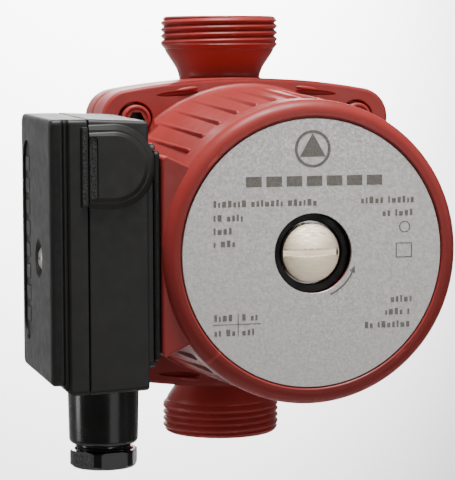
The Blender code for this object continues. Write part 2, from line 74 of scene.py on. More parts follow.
BOX_HALF_Z = 42.2
COVER_FACE = -81.9
PARTING = -69.8
BASE_RIGHT = -51.0
WALL = 2.2
BOSS_X = -62.1
BOSS_Z = 27.7
BOSS_R = 12.1
COVER_SCREW = (-90.0, -1.5)
LEAD_Y = -99.0
BASE_SCREW_Y = -70.0
BASE_SCREW_Z = 12.0
TERMINALS = (-97.0, -87.0, -77.0)
GLAND = (-61.0, -86.0, 0.0)
GLAND_END = -61.0
GLAND_THREAD_R = 9.0
NUT_TOP = -63.0
NUT_END = -68.5
NUT_FLATS = 20.1
NUT_R = 10.95
NUT_TURN = 8.4
NECK_HALF_Z = 34.4
GASKET_HALF_Z = 32.3
GASKET_LEFT = -49.6
LID_LOW = -39.1
LID_HIGH = 42.1

RIB_STEP = 8.0  # degrees
RIB_START = -41.0
RIB_END = -97.2
RIB_LENGTH = 56.0
RIB_MEAN_R = 48.0
TAPER_START = -47.0
TAPER_LENGTH = 48.5

SHARP_ANGLE = 32.0  # degrees between faces from which an edge is drawn sharp
AXES = {"X": Vector((1, 0, 0)), "Y": Vector((0, 1, 0)), "Z": Vector((0, 0, 1))}
PLANE = {
    "X": (Vector((0, 1, 0)), Vector((0, 0, 1))),
    "Y": (Vector((0, 0, 1)), Vector((1, 0, 0))),
    "Z": (Vector((1, 0, 0)), Vector((0, 1, 0))),
}


# ------------------------------------------------------------------ materials

class Nodes:
    """A Principled material being built: a few short calls for the nodes that the finishes share."""

    def __init__(self, name, **values):
        self.material = bpy.data.materials.new(name)
        self.material.use_nodes = True
        self.tree = self.material.node_tree
        self.shader = self.tree.nodes["Principled BSDF"]
        self.place = self.tree.nodes.new("ShaderNodeTexCoord").outputs["Object"]
        self.height = None
        for key, value in values.items():
            self.shader.inputs[key.replace("_", " ")].default_value = value

    def node(self, kind, **inputs):
        """A new node with values or links on its inputs."""
        node = self.tree.nodes.new("ShaderNode" + kind)
        for key, value in inputs.items():
            self.set(node.inputs[key], value)
        return node

    def noise(self, scale, detail=3.0, stretch=None, roughness=0.5):
        source = self.place
        if stretch:
            source = self.node("Mapping", Vector=source, Scale=Vector(stretch)).outputs["Vector"]
        return self.node("TexNoise", Vector=source, Scale=scale, Detail=detail,
                         Roughness=roughness).outputs["Fac"]

    def spots(self, scale):
        return self.node("TexVoronoi", Vector=self.place, Scale=scale).outputs["Distance"]

    def ramp(self, source, stops):
        """A colour ramp: stops are (position, colour or grey value)."""
        node = self.node("ValToRGB", Fac=source)
        elements = node.color_ramp.elements
        while len(elements) < len(stops):
            elements.new(0.5)
        for element, (position, value) in zip(elements, stops):
            element.position = position
            element.color = (*value, 1.0) if isinstance(value, tuple) else (value, value, value, 1.0)
        return node.outputs["Color"]

    def mixed(self, factor, first, second):
        node = self.node("Mix")
        node.data_type = "RGBA"
        for key, value in (("Factor", factor), ("A", first), ("B", second)):
            self.set(node.inputs[key], value)
        return node.outputs["Result"]

    def set(self, socket, value):
        if isinstance(value, bpy.types.NodeSocket):
            self.tree.links.new(value, socket)
        elif isinstance(value, tuple):
            socket.default_value = (*value, 1.0)
        else:
            socket.default_value = value

    def colour(self, value):
        self.set(self.shader.inputs["Base Color"], value)

    def roughness(self, source, low, high):
        self.set(self.shader.inputs["Roughness"], self.ramp(source, ((0.3, low), (0.7, high))))

    def bump(self, source, distance, strength=1.0):
        """Adds a layer of relief, distance in metres."""
        layer = self.node("Bump", Strength=strength, Distance=distance, Height=source)
        if self.height:
            self.set(layer.inputs["Normal"], self.height)
        self.height = layer.outputs["Normal"]
        self.set(self.shader.inputs["Normal"], self.height)

    def painted_edge_highlight(self):
        """1 on convex edges and 0 elsewhere, from the mesh's own curvature: the mask of a painted highlight
        where edges catch the light.
        """
        return self.ramp(self.node("NewGeometry").outputs["Pointiness"], ((0.53, 0.0), (0.6, 1.0)))


def red_enamel():
    """Satin red paint on a casting: slight unevenness, orange peel, a few pinholes, and a painted highlight
    of lighter red on convex edges.
    """
    m = Nodes("red_enamel", Specular_IOR_Level=0.28)
    tone = m.ramp(m.noise(38.0, 4.0), ((0.3, (0.30, 0.035, 0.031)), (0.7, (0.35, 0.041, 0.036))))
    # Convex edges take a lighter red: a painted highlight where the edges catch the light.
    m.colour(m.mixed(m.painted_edge_highlight(), tone, (0.46, 0.062, 0.054)))
    m.roughness(m.noise(160.0, 3.0), 0.36, 0.48)
    m.bump(m.noise(420.0, 2.0), 0.00012, 0.30)
    m.bump(m.noise(1500.0, 2.0), 0.00004, 0.35)
    m.bump(m.ramp(m.spots(210.0), ((0.0, 0.0), (0.045, 1.0))), 0.00008, 0.5)
    return m.material


def surface(name, tones, rough, bumps, **values):
    """A non-metal made of noises. tones are (scale, detail, dark, light), rough is (scale, detail, low,
    high), and each bump is (scale, detail, distance, strength)."""
    m = Nodes(name, **values)
    scale, detail, dark, light = tones
    m.colour(m.ramp(m.noise(scale, detail), ((0.3, dark), (0.7, light))))
    scale, detail, low, high = rough
    m.roughness(m.noise(scale, detail), low, high)
    for scale, detail, distance, strength in bumps:
        m.bump(m.noise(scale, detail), distance, strength)
    return m.material


def black_plastic():
    """Moulded black plastic with a fine eroded texture."""
    tones = (90.0, 4.0, (0.019, 0.018, 0.017), (0.025, 0.0238, 0.0225))
    bumps = ((2600.0, 2.0, 0.00003, 0.45), (60.0, 2.0, 0.0002, 0.05))
    return surface("black_plastic", tones, (300.0, 3.0, 0.42, 0.52), bumps, Specular_IOR_Level=0.33)


def grained_plastic():
    """The same plastic with a coarse sparkling grain, for grip strips."""
    m = Nodes("grained_plastic", Specular_IOR_Level=0.6)
    m.colour(m.ramp(m.noise(1500.0, 2.0), ((0.42, (0.005, 0.0048, 0.0045)), (0.66, (0.05, 0.048, 0.046)))))
    m.roughness(m.noise(900.0, 2.0), 0.32, 0.6)
    m.bump(m.spots(1700.0), 0.00018, 0.8)
    return m.material


def gloss_black():
    """Polished black plastic with faint moulding streaks."""
    tones = (50.0, 3.0, (0.008, 0.0078, 0.0075), (0.012, 0.0116, 0.011))
    return surface("gloss_black", tones, (120.0, 3.0, 0.20, 0.32), ((700.0, 2.0, 0.00003, 0.2),),
                   Coat_Weight=0.4, Coat_Roughness=0.12, Specular_IOR_Level=0.5)


def rubber():
    """Dull black rubber, a little uneven."""
    tones = (140.0, 4.0, (0.007, 0.007, 0.007), (0.012, 0.012, 0.012))
    return surface("rubber_black", tones, (400.0, 3.0, 0.5, 0.7), ((1500.0, 3.0, 0.00005, 0.4),),
                   Specular_IOR_Level=0.35)


def plate_metal():
    """Fine-grained grey anodised plate."""
    m = Nodes("plate_metal", Metallic=0.8, Specular_IOR_Level=0.5)
    grain = m.mixed(0.5, m.noise(2600.0, 2.0), m.noise(1300.0, 3.0))
    m.colour(m.ramp(grain, ((0.30, (0.60, 0.584, 0.56)), (0.70, (0.72, 0.702, 0.675)))))
    m.roughness(m.noise(1200.0, 3.0), 0.40, 0.56)
    m.bump(grain, 0.00004, 0.4)
    return m.material


def print_ink():
    """Grey-brown print, a little patchy."""
    m = Nodes("print_ink", Specular_IOR_Level=0.4)
    m.colour(m.ramp(m.noise(1500.0, 3.0), ((0.35, (0.20, 0.18, 0.158)), (0.65, (0.27, 0.247, 0.22)))))
    m.roughness(m.noise(500.0, 2.0), 0.45, 0.6)
    return m.material


def metal(name, dark, light, low, high, stretch=None, scale=240.0, relief=0.00003):
    """A bare metal with drawn or turned streaks."""
    m = Nodes(name, Metallic=1.0)
    streaks = m.noise(scale, 5.0, stretch, 0.6)
    m.colour(m.ramp(streaks, ((0.3, dark), (0.7, light))))
    m.roughness(m.noise(scale * 1.7, 4.0, stretch), low, high)
    m.bump(streaks, relief, 0.35)
    return m.material


def plain(name, dark, light, low, high, scale=150.0, relief=0.00004):
    """A non-metal with slight mottling and a fine surface."""
    return surface(name, (scale, 4.0, dark, light), (scale * 2.0, 3.0, low, high),
                   ((scale * 8.0, 2.0, relief, 0.35),))


def laminations():
    """Stacked steel sheets: thin lines across the motor axis."""
    m = Nodes("laminations", Metallic=0.9)
    wave = m.node("TexWave", Vector=m.place, Scale=300.0)
    wave.bands_direction = "Y"
    sheets = wave.outputs["Fac"]
    m.colour(m.ramp(sheets, ((0.2, (0.07, 0.07, 0.075)), (0.8, (0.22, 0.22, 0.22)))))
    m.roughness(m.noise(300.0), 0.4, 0.6)
    m.bump(sheets, 0.0001, 0.5)
    return m.material


def winding_copper():
    """Lacquered copper wire laid round the axis."""
    m = Nodes("winding_copper", Metallic=0.8, Coat_Weight=0.5)
    strands = m.noise(60.0, 4.0, (8.0, 1.0, 8.0))
    m.colour(m.ramp(strands, ((0.35, (0.28, 0.09, 0.035)), (0.65, (0.62, 0.26, 0.11)))))
    m.roughness(m.noise(300.0), 0.25, 0.45)
    m.bump(strands, 0.0006, 0.7)
    return m.material


FINISH = {
    "red": red_enamel(),
    "black": black_plastic(),
    "grain": grained_plastic(),
    "gloss": gloss_black(),
    "rubber": rubber(),
    "plate": plate_metal(),
    "ink": print_ink(),
    "nickel": metal("nickel_brass", (0.86, 0.72, 0.52), (0.99, 0.86, 0.66), 0.26, 0.40, (1.0, 1.0, 6.0)),
    "zinc": metal("zinc_steel", (0.50, 0.49, 0.45), (0.70, 0.69, 0.64), 0.25, 0.42),
    "brass": metal("terminal_brass", (0.55, 0.42, 0.22), (0.72, 0.58, 0.34), 0.25, 0.4),
    "stainless": metal("stainless_drawn", (0.42, 0.42, 0.42), (0.62, 0.62, 0.61), 0.22, 0.38,
                       (1.0, 7.0, 1.0)),
    "socket": metal("black_oxide", (0.010, 0.010, 0.010), (0.03, 0.03, 0.03), 0.4, 0.6),
    "ceramic": plain("ceramic", (0.66, 0.65, 0.61), (0.78, 0.77, 0.73), 0.15, 0.3),
    "carbon": plain("carbon", (0.02, 0.02, 0.022), (0.05, 0.05, 0.055), 0.35, 0.5),
    "composite": plain("glass_filled", (0.05, 0.045, 0.04), (0.12, 0.105, 0.09), 0.35, 0.55, 400.0),
    "cream": plain("terminal_block_resin", (0.56, 0.53, 0.46), (0.64, 0.61, 0.54), 0.35, 0.5),
    "capacitor": plain("capacitor_case", (0.55, 0.56, 0.57), (0.63, 0.64, 0.65), 0.3, 0.45),
    "sleeve": plain("woven_sleeve", (0.34, 0.33, 0.30), (0.55, 0.53, 0.48), 0.6, 0.8, 900.0, 0.0002),
    "laminations": laminations(),
    "copper": winding_copper(),
}


# ------------------------------------------------------------------ mesh helpers

def linked(name, data):
    obj = bpy.data.objects.new(name, data)
    bpy.context.scene.collection.objects.link(obj)
    return obj


def smooth_by_angle(obj, degrees=SHARP_ANGLE):
    obj.data.shade_smooth()
    obj.data.set_sharp_from_angle(angle=math.radians(degrees))
    return obj


def add(name, bm, finish, degrees=SHARP_ANGLE):
    """Makes the mesh an object of the scene, with its finish."""
    bmesh.ops.recalc_face_normals(bm, faces=bm.faces)
    mesh = bpy.data.meshes.new(name)
    bm.to_mesh(mesh)
    bm.free()
    mesh.materials.append(FINISH[finish])
    return smooth_by_angle(linked(name, mesh), degrees)


def cuboid(bm, low, high):
    """A box between two corners, in millimetres."""
    low, high = Vector(low), Vector(high)
    matrix = Matrix.Translation((low + high) / 2 * MM) @ Matrix.Diagonal((*((high - low) * MM), 1.0))
    bmesh.ops.create_cube(bm, size=1.0, matrix=matrix)


def skin(bm, rings, endless=False):
    """Joins a row of closed rings, then caps its two ends, or joins them too if it is endless."""
    pairs = list(zip(rings, rings[1:])) + ([(rings[-1], rings[0])] if endless else [])
    for one, other in pairs:
        for index in range(len(one)):
            after = (index + 1) % len(one)
            bm.faces.new((one[index], one[after], other[after], other[index]))
    if not endless:
        bm.faces.new(rings[0])
        bm.faces.new(rings[-1])


def apply_modifiers(obj):
    """Swaps the object's mesh for the one that its modifiers make."""
    graph = bpy.context.evaluated_depsgraph_get()
    mesh = bpy.data.meshes.new_from_object(obj.evaluated_get(graph), depsgraph=graph)
    old = obj.data
    obj.modifiers.clear()
    obj.data = mesh
    bpy.data.meshes.remove(old)


def settled(obj, degrees=SHARP_ANGLE):
    apply_modifiers(obj)
    return smooth_by_angle(obj, degrees)


def combined(target, operation, others):
    for other in others:
        modifier = target.modifiers.new(other.name, "BOOLEAN")
        modifier.operation = operation
        modifier.object = other
    settled(target)
    for other in others:
        bpy.data.objects.remove(other, do_unlink=True)
    return target


def unite(target, *others):
    return combined(target, "UNION", others)


def cut(target, *others):
    return combined(target, "DIFFERENCE", others)


def keep_inside(target, *others):
    return combined(target, "INTERSECT", others)


def rounded(points, steps=4, closed=False):
    """Replaces each corner (a, b, radius) by an arc; corners without a radius stay sharp."""
    result = []
    count = len(points)
    for index, corner in enumerate(points):
        here = Vector(corner[:2])
        radius = corner[2] if len(corner) > 2 else 0.0
        if not radius or (not closed and index in (0, count - 1)):
            result.append(tuple(here))
            continue
        before = (Vector(points[index - 1][:2]) - here).normalized()
        after = (Vector(points[(index + 1) % count][:2]) - here).normalized()
        half = before.angle(after) / 2
        if half > math.radians(88):
            result.append(tuple(here))
            continue
        centre = here + (before + after).normalized() * (radius / math.sin(half))
        start = here + before * (radius / math.tan(half)) - centre
        sweep = start.angle_signed(here + after * (radius / math.tan(half)) - centre)
        for step in range(steps + 1):
            turn = Matrix.Rotation(-sweep * step / steps, 2)
            result.append(tuple(centre + turn @ start))
    return result


def revolve(name, profile, finish, axis="Y", centre=(0, 0, 0), steps=96, shape=None, degrees=SHARP_ANGLE):
    """A solid of revolution about an axis. The profile lists (radius, station), steps is a number or a list
    of angles, and shape(angle, radius, station) may return another radius, as for a rib or a thread."""
    first, second = PLANE[axis]
    along = AXES[axis]
    bm = bmesh.new()
    angles = [math.tau * step / steps for step in range(steps)] if isinstance(steps, int) else steps
    rings = []
    for radius, station in profile:
        if radius < 1e-6:
            rings.append([bm.verts.new((along * station + Vector(centre)) * MM)])
            continue
        ring = []
        for angle in angles:
            reach = shape(angle, radius, station) if shape else radius
            spot = first * (reach * math.cos(angle)) + second * (reach * math.sin(angle)) + along * station
            ring.append(bm.verts.new((spot + Vector(centre)) * MM))
        rings.append(ring)
    pairs = list(zip(rings, rings[1:]))
    if len(rings[0]) > 1 and len(rings[-1]) > 1:
        pairs.append((rings[-1], rings[0]))
    for one, other in pairs:
        for step in range(len(angles)):
            after = (step + 1) % len(angles)
            near = [one[step % len(one)], one[after % len(one)]]
            far = [other[after % len(other)], other[step % len(other)]]
            face = list(dict.fromkeys(near + far))
            if len(face) > 2:
                bm.faces.new(face)
    return add(name, bm, finish, degrees)


def turned_ring(name, inner, outer, low, high, edges, finish, axis="Y", centre=(0, 0, 0), fine=4, steps=96):
    """A ring of oblong section. edges are its four corner radii, from the inner low one round."""
    corners = ((inner, low), (outer, low), (outer, high), (inner, high))
    section = rounded([(*corner, edge) for corner, edge in zip(corners, edges)], fine, True)
    return revolve(name, section, finish, axis, centre, steps)


def disc(name, radius, low, high, finish="black", axis="Y", centre=(0, 0, 0), edge=0.0, steps=48):
    """A solid cylinder, mostly a cutter, with rounded ends if edge is given."""
    profile = rounded([(0, low), (radius, low, edge), (radius, high, edge), (0, high)], 3)
    return revolve(name, profile, finish, axis, centre, steps)


def extruded(bm, corners, way):
    """A face with the given corners, pushed along a vector into a solid. Both are in millimetres."""
    face = bm.faces.new([bm.verts.new(corner * MM) for corner in corners])
    grown = bmesh.ops.extrude_face_region(bm, geom=[face])["geom"]
    moved = [item for item in grown if isinstance(item, bmesh.types.BMVert)]
    bmesh.ops.translate(bm, verts=moved, vec=way * MM)


def prism(name, outline, axis, low, high, finish="black", edge=0.0, steps=3, place=(0, 0, 0)):
    """An outline in the plane across the axis, extruded from station low to high, with rounded edges."""
    first, second = (AXES["X"], AXES["Z"]) if axis == "Y" else PLANE[axis]
    bm = bmesh.new()
    start = AXES[axis] * low + Vector(place)
    extruded(bm, [first * a + second * b + start for a, b in outline], AXES[axis] * (high - low))
    obj = add(name, bm, finish)
    return softened(obj, edge, steps) if edge else obj


def softened(obj, width, steps=3, angle=38.0):
    """Rounds the edges sharper than an angle."""
    modifier = obj.modifiers.new("edges", "BEVEL")
    modifier.width = width * MM
    modifier.segments = steps
    modifier.limit_method = "ANGLE"
    modifier.angle_limit = math.radians(angle)
    modifier.harden_normals = False
    return settled(obj)


def rectangle(low, high, radius=0.0, steps=6):
    corners = ((low[0], low[1]), (high[0], low[1]), (high[0], high[1]), (low[0], high[1]))
    return rounded([(*corner, radius) for corner in corners], steps, True)


def box_loft(name, stations, finish, corner=1.6):
    """A box along X whose section changes: stations are (x, y low, y high, z low, z high)."""
    bm = bmesh.new()
    rings = []
    for x, y_low, y_high, z_low, z_high in stations:
        outline = rectangle((y_low, z_low), (y_high, z_high), corner, 5)
        rings.append([bm.verts.new(Vector((x, y, z)) * MM) for y, z in outline])
    skin(bm, rings)
    return add(name, bm, finish)


def on_circle(radius, degrees, centre=(0, 0)):
    """Points round a circle, one for each angle."""
    turns = [math.radians(angle) for angle in degrees]
    return [(centre[0] + radius * math.cos(turn), centre[1] + radius * math.sin(turn)) for turn in turns]


def hexagon(across_flats, turn=0.0):
    return on_circle(across_flats / math.sqrt(3), [60 * index + turn for index in range(6)])


def rod(name, start, end, radius, finish="black"):
    """A straight round bar between two points, mostly a cutter."""
    start, end = Vector(start) * MM, Vector(end) * MM
    aim = (end - start).to_track_quat("Z", "Y").to_matrix().to_4x4()
    bm = bmesh.new()
    bmesh.ops.create_cone(bm, cap_ends=True, segments=48, radius1=radius * MM, radius2=radius * MM,
                          depth=(end - start).length, matrix=Matrix.Translation((start + end) / 2) @ aim)
    return add(name, bm, finish)


def flat_faces_stay_flat(obj):
    """Normals weighted by face area, so a fillet doesn't shade the flat face beside it."""
    obj.modifiers.new("weighted_normals", "WEIGHTED_NORMAL").keep_sharp = True
    apply_modifiers(obj)


def placed(obj, body, slot, *nodes):
    """The piece rides on its body and stands for CAD nodes. slot is not used."""
    if obj.type == "MESH":
        flat_faces_stay_flat(obj)
    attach(obj, body)
    if nodes:
        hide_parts(*nodes)
    return obj


def paint_faces(obj, finish, chosen):
    """Gives the faces whose centre, in millimetres, satisfies chosen(centre) a second material."""
    obj.data.materials.append(FINISH[finish])
    index = len(obj.data.materials) - 1
    for face in obj.data.polygons:
        if chosen(face.center / MM):
            face.material_index = index


# ------------------------------------------------------------------ red castings

def flange_outline():
    """Square flange with round corners and slightly crowned top and bottom edges."""
    centre_x = FLANGE_HALF_X - FLANGE_CORNER_R
    centre_z = FLANGE_HALF_Z - 42.0**2 / (2 * FLANGE_CROWN_R) - FLANGE_CORNER_R
    quarter = on_circle(FLANGE_CORNER_R, [82 * step / 12 for step in range(13)], (centre_x, centre_z))
    for x in (36.0, 30.0, 24.0, 18.0, 12.0, 6.0):
        quarter.append((x, FLANGE_HALF_Z - x**2 / (2 * FLANGE_CROWN_R)))
    top = quarter + [(0.0, FLANGE_HALF_Z)] + [(-x, z) for x, z in reversed(quarter)]
    return top + [(-x, -z) for x, z in top]


def union_thread(name, side):
    """The threaded end of a port: helical crests, chamfered rim, flat sealing face and bore."""
    depth, rise = 1.15, 0.15
    stations = [THREAD_START + rise * step for step in range(int((PORT_HALF - 0.3 - THREAD_START) / rise))]

    def crest(angle, radius, station):
        if radius < THREAD_R - 1e-6:
            return radius
        z = side * station
        phase = (z / THREAD_PITCH - side * angle / math.tau) % 1.0
        groove = depth * (1.0 - abs(phase - 0.5) * 2) ** 1.5
        fade = min(1.0, max(0.0, (z - THREAD_START - 1.2) / 1.6))
        rim = PORT_FACE_R + 0.25 + 0.72 * max(0.0, PORT_HALF - 0.35 - z)
        low = 19.75 + 0.85 * max(0.0, z - THREAD_START)
        return min(THREAD_R - groove * fade, rim, low)

    profile = [(BORE_R, THREAD_START - 8.0), (14.0, THREAD_START - 8.0), (17.0, THREAD_START - 2.0)]
    profile += [(THREAD_R, z) for z in stations]
    profile += rounded([(PORT_FACE_R + 0.2, PORT_HALF - 0.3), (PORT_FACE_R - 0.3, PORT_HALF, 0.3),
                        (BORE_R + 0.4, PORT_HALF, 0.3), (BORE_R, PORT_HALF - 0.5)], 3)
    return revolve(name, [(radius, side * z) for radius, z in profile], "red", "Z", steps=180, shape=crest,
                   degrees=60.0)


def make_pump_casting():
    """Pump housing: flange, rounded volute and necks, melted together like a casting."""
    body = prism("pump_casting", flange_outline(), "Y", SPLIT, FLANGE_BACK, "red", edge=0.9)
    belly = rounded([(0, 26.0), (14.0, 25.4, 8.0), (29.0, 20.5, 12.0), (39.0, 9.0, 10.0), (43.5, -3.0, 6.0),
                     (44.5, FLANGE_BACK - 3), (0, FLANGE_BACK - 3)], 5)
    parts = [revolve("belly", belly, "red", "Y")]
    neck = rounded([(0, 18.0), (NECK_R - 0.3, 18.0), (NECK_R - 0.3, 55.0, 12.0), (19.3, 62.4, 9.0),
                    (19.9, THREAD_START + 0.4), (0, THREAD_START + 0.4)], 8)
    for side in (1, -1):
        parts.append(revolve("neck", [(radius, side * z) for radius, z in neck], "red", "Z"))
    spiral = rod("spiral", (-30, 2, -10), (-14, 4, 38), 8.0)
    unite(body, *parts, spiral)
    remesh = body.modifiers.new("melt", "REMESH")
    remesh.mode = "VOXEL"
    remesh.voxel_size = 0.75 * MM
    remesh.use_smooth_shade = True
    settled(body, 60.0)
    relax = body.modifiers.new("relax", "SMOOTH")
    relax.factor = 0.5
    relax.iterations = 7
    settled(body, 60.0)
    cut(body, disc("volute", 37.0, SPLIT - 3, -11.3))
    cut(body, disc("ring_seat", 14.3, -14, -8.3), disc("chamber", BORE_R, -9, 13))
    cut(body, disc("bore_top", BORE_R, 54, 80, axis="Z"), disc("bore_low", BORE_R, -80, -54, axis="Z"))
    cut(body, rod("outlet_way", (0, -15.5, 29), (0, 0, 57), 7.5),
        rod("inlet_way", (0, 5.5, -8), (0, 0, -57), 9.0))
    cut(body, prism("seam", rectangle((-60, -60), (60, 60)), "Y", SPLIT - 5, SPLIT))
    body.data.materials.clear()
    body.data.materials.append(FINISH["red"])
    placed(body, "pump", "red_paint", "pump_housing")
    for name, side in (("outlet_thread", 1), ("inlet_thread", -1)):
        placed(union_thread(name, side), "pump", "red_paint")


def barrel_columns():
    """Angles round the barrel, close together across each rib."""
    offsets = (-1.15, -0.95, -0.75, -0.55, -0.38, -0.18, 0.0, 0.18, 0.38, 0.55, 0.75, 0.95, 1.15)
    angles = []
    for rib in rib_angles():
        angles += [rib + offset / RIB_MEAN_R for offset in offsets]
        angles += [rib + math.radians(RIB_STEP) * share for share in (0.34, 0.5, 0.66)]
    return sorted(angles)


def rib_angles():
    return [math.radians(RIB_STEP * index) for index in range(round(360 / RIB_STEP))]


def barrel_radius(station):
    share = min(1.0, max(0.0, (TAPER_START - station) / TAPER_LENGTH))
    return BARREL_R + (BARREL_FRONT_R - BARREL_R) * share


def rib_height(angle, station):
    """Ribs whose tops taper less than the barrel, so they rise towards its front, and end in a round nose."""
    if not RIB_END < station < RIB_START:
        return 0.0
    if abs(math.sin(angle) + 1.0) < 0.21:
        return 0.0
    nearest = min(rib_angles(), key=lambda rib: abs(rib - angle))
    across = abs(angle - nearest) * RIB_MEAN_R
    side = max(0.0, 1.0 - max(0.0, across - 0.18) / 0.8)
    side = side * side * (3 - 2 * side)
    top = BARREL_R + 0.45 - 2.55 * (RIB_START - station) / RIB_LENGTH
    nose = math.sqrt(max(0.0, min(1.0, (station - RIB_END) / 1.1)))
    return max(0.0, top - barrel_radius(station)) * side * nose


def make_motor_shell():
    """Stator housing: ribbed barrel with its front ring, the flange, and the seat of the terminal box."""
    outer = rounded([(STATOR_BORE_R, SPLIT - 0.2), (TRIM_R, SPLIT - 0.2), (TRIM_R, FLANGE_FRONT + 0.2),
                     (BARREL_R + 0.15, FLANGE_FRONT + 0.2, 2.2), (BARREL_R, TAPER_START)], 7)
    taper = []
    for share in (0.1, 0.25, 0.4, 0.55, 0.7, 0.85, 0.95, 1.0):
        taper.append((BARREL_R + (BARREL_FRONT_R - BARREL_R) * share, TAPER_START - TAPER_LENGTH * share))
    ahead = (1.7, 1.4, 1.1, 0.85, 0.65, 0.45, 0.3, 0.15, 0.05, 0.0)
    nose = [(BARREL_FRONT_R, RIB_END + offset) for offset in ahead]
    front = rounded([(BARREL_FRONT_R, -98.5), (BARREL_FRONT_R - 0.45, -98.9), (RING_R - 0.3, -99.15, 0.3),
                     (RING_R + 0.1, -100.4, 1.5), (RING_R, -114.9, 4.2), (43.6, -114.6, 0.5),
                     (42.6, -114.7, 0.4), (42.2, -114.2, 0.2), (PLATE_R + 0.3, PLATE_FACE + 1.1),
                     (12.9, PLATE_FACE + 1.1, 0.3), (12.9, -109.5), (41.8, -109.5),
                     (STATOR_BORE_R, -108.5)], 9)

    def ribbed(angle, radius, station):
        return radius + rib_height(angle, station) if radius > 46 else radius

    shell = revolve("motor_shell", outer + taper + nose + front, "red", steps=barrel_columns(), shape=ribbed)
    keep_inside(shell, prism("trim", flange_outline(), "Y", -120, SPLIT - 0.2, "red"))
    unite(shell, ring_flange())
    cut(shell, *flange_pebbles("dent", 24.6, 48.2, -0.1, (7.4, 1.3, 0.95), 4))
    seat = rounded([(SEAT_X, 31.5, 1.2), (SEAT_X, -31.5, 1.2), (-35.0, -25.8), (-35.0, 25.8)], 4, True)
    unite(shell, prism("seat", seat, "Y", -111.9, -60.0, "red", edge=0.7))
    face = prism("seat_face", rectangle((-60.0, -38.0), (SEAT_X, 38.0)), "Y", -118.0, BOX_BACK + 0.8, "red")
    cut(shell, face, disc("bore", STATOR_BORE_R, -108.4, SPLIT + 3, "red", steps=96))
    for x, z in bolt_places():
        recess = rounded([(0, -33.7), (5.85, -33.7), (5.85, FLANGE_FRONT + 0.3, 0.4),
                          (6.5, FLANGE_FRONT - 0.2), (6.5, -47.0), (0, -47.0)], 4)
        cut(shell, revolve("recess", recess, "red", "Y", (x, 0, z), 64),
            disc("hole", 3.4, -36, SPLIT + 3, "red", centre=(x, 0, z)))
    cut(shell, rod("lead", (-50, LEAD_Y, 0), (-40, LEAD_Y, 0), 4.0, "red"))
    return placed(shell, "pump", "red_paint", "stator_housing")


def ring_flange():
    """The motor's clamping flange, with a rounded front edge and a soft lip above each dent."""
    flange = prism("flange", flange_outline(), "Y", FLANGE_FRONT, SPLIT - 0.2, "red", edge=1.3, steps=5)
    cut(flange, disc("inner", 46.0, -60, 0, "red", steps=96))
    return unite(flange, *flange_pebbles("lip", 21.2, 49.7, 0.15, (3.9, 0.9, 0.8), 8))


def flange_pebbles(name, x, z, depth, halves, tilt):
    """Four ellipsoids on the flange's front face, mirrored to its four quarters."""
    found = []
    for side_x, side_z in ((1, 1), (-1, 1), (1, -1), (-1, -1)):
        place = Vector((x * side_x, FLANGE_FRONT + depth, z * side_z))
        found.append(pebble(name, place, halves, tilt * side_x * side_z))
    return found


def pebble(name, place, halves, tilt):
    """An ellipsoid turned a little about Y."""
    bm = bmesh.new()
    bmesh.ops.create_uvsphere(bm, u_segments=48, v_segments=24, radius=1.0)
    bmesh.ops.scale(bm, vec=Vector(halves) * MM, verts=bm.verts)
    bmesh.ops.rotate(bm, verts=bm.verts, cent=(0, 0, 0), matrix=Matrix.Rotation(math.radians(tilt), 3, "Y"))
    bmesh.ops.translate(bm, verts=bm.verts, vec=place * MM)
    return add(name, bm, "red")


def bolt_places():
    return [(sign_x * BOLT_X, sign_z * BOLT_Z) for sign_x, sign_z in ((-1, 1), (1, 1), (1, -1), (-1, -1))]


def make_cap_screws():
    names = ("top_left", "top_right", "bottom_right", "bottom_left")
    profile = rounded([(0, -39.75), (3.6, -39.75, 0.3), (4.0, -40.05, 0.3), (5.0, -40.05, 0.75),
                       (5.0, -34.0, 0.2), (3.0, -34.0), (3.0, -11.0, 0.5), (0, -11.0)], 4)
    for name, (x, z) in zip(names, bolt_places()):
        screw = revolve(f"screw_{name}", profile, "red", "Y", (x, 0, z), 64)
        cut(screw, prism("socket", hexagon(5.0), "Y", -44.0, -36.8, "socket", place=(x, 0, z)))
        screw.data.materials.clear()
        screw.data.materials.append(FINISH["red"])
        paint_faces(screw, "socket",
                    lambda spot: -39.7 < spot.y < -36.0 and math.hypot(spot.x - x, spot.z - z) < 2.92)
        placed(screw, "pump", "red_screw", f"cap_screw_{name}")


# ------------------------------------------------------------------ nameplate and vent

def bar(bm, x_low, x_high, z_low, z_high):
    """A thin printed bar on the plate's face."""
    cuboid(bm, (x_low, INK_FRONT, z_low), (x_high, INK_BACK, z_high))


def greeked(bm, x_low, x_high, middle, seed):
    """A line of plain upright blocks that stands for a line of small print, with gaps between words."""
    height = 2.1
    x = x_low
    count = seed
    while x < x_high - 0.6:
        width = 0.62 + 0.22 * (count * 7 % 4)
        bar(bm, x, min(x + width, x_high), middle - height / 2, middle + height / 2 - 0.3 * (count * 5 % 3))
        x += width + (1.7 if count * 3 % 7 == 0 else 0.62)
        count += 1


def flat_ring(bm, centre, inner, outer, start=0.0, end=math.tau, steps=48):
    """A flat printed arc on the plate's face."""
    whole = end - start > math.tau - 1e-6
    rings = []
    for step in range(steps if whole else steps + 1):
        angle = start + (end - start) * step / steps
        spots = []
        for radius, y in ((inner, INK_BACK), (outer, INK_BACK), (outer, INK_FRONT), (inner, INK_FRONT)):
            spot = Vector((centre[0] + radius * math.cos(angle), y, centre[1] + radius * math.sin(angle)))
            spots.append(bm.verts.new(spot * MM))
        rings.append(spots)
    skin(bm, rings, endless=whole)


def flat_shape(bm, outline):
    """A flat printed shape on the plate's face."""
    extruded(bm, [Vector((x, INK_BACK, z)) for x, z in outline], Vector((0, INK_FRONT - INK_BACK, 0)))


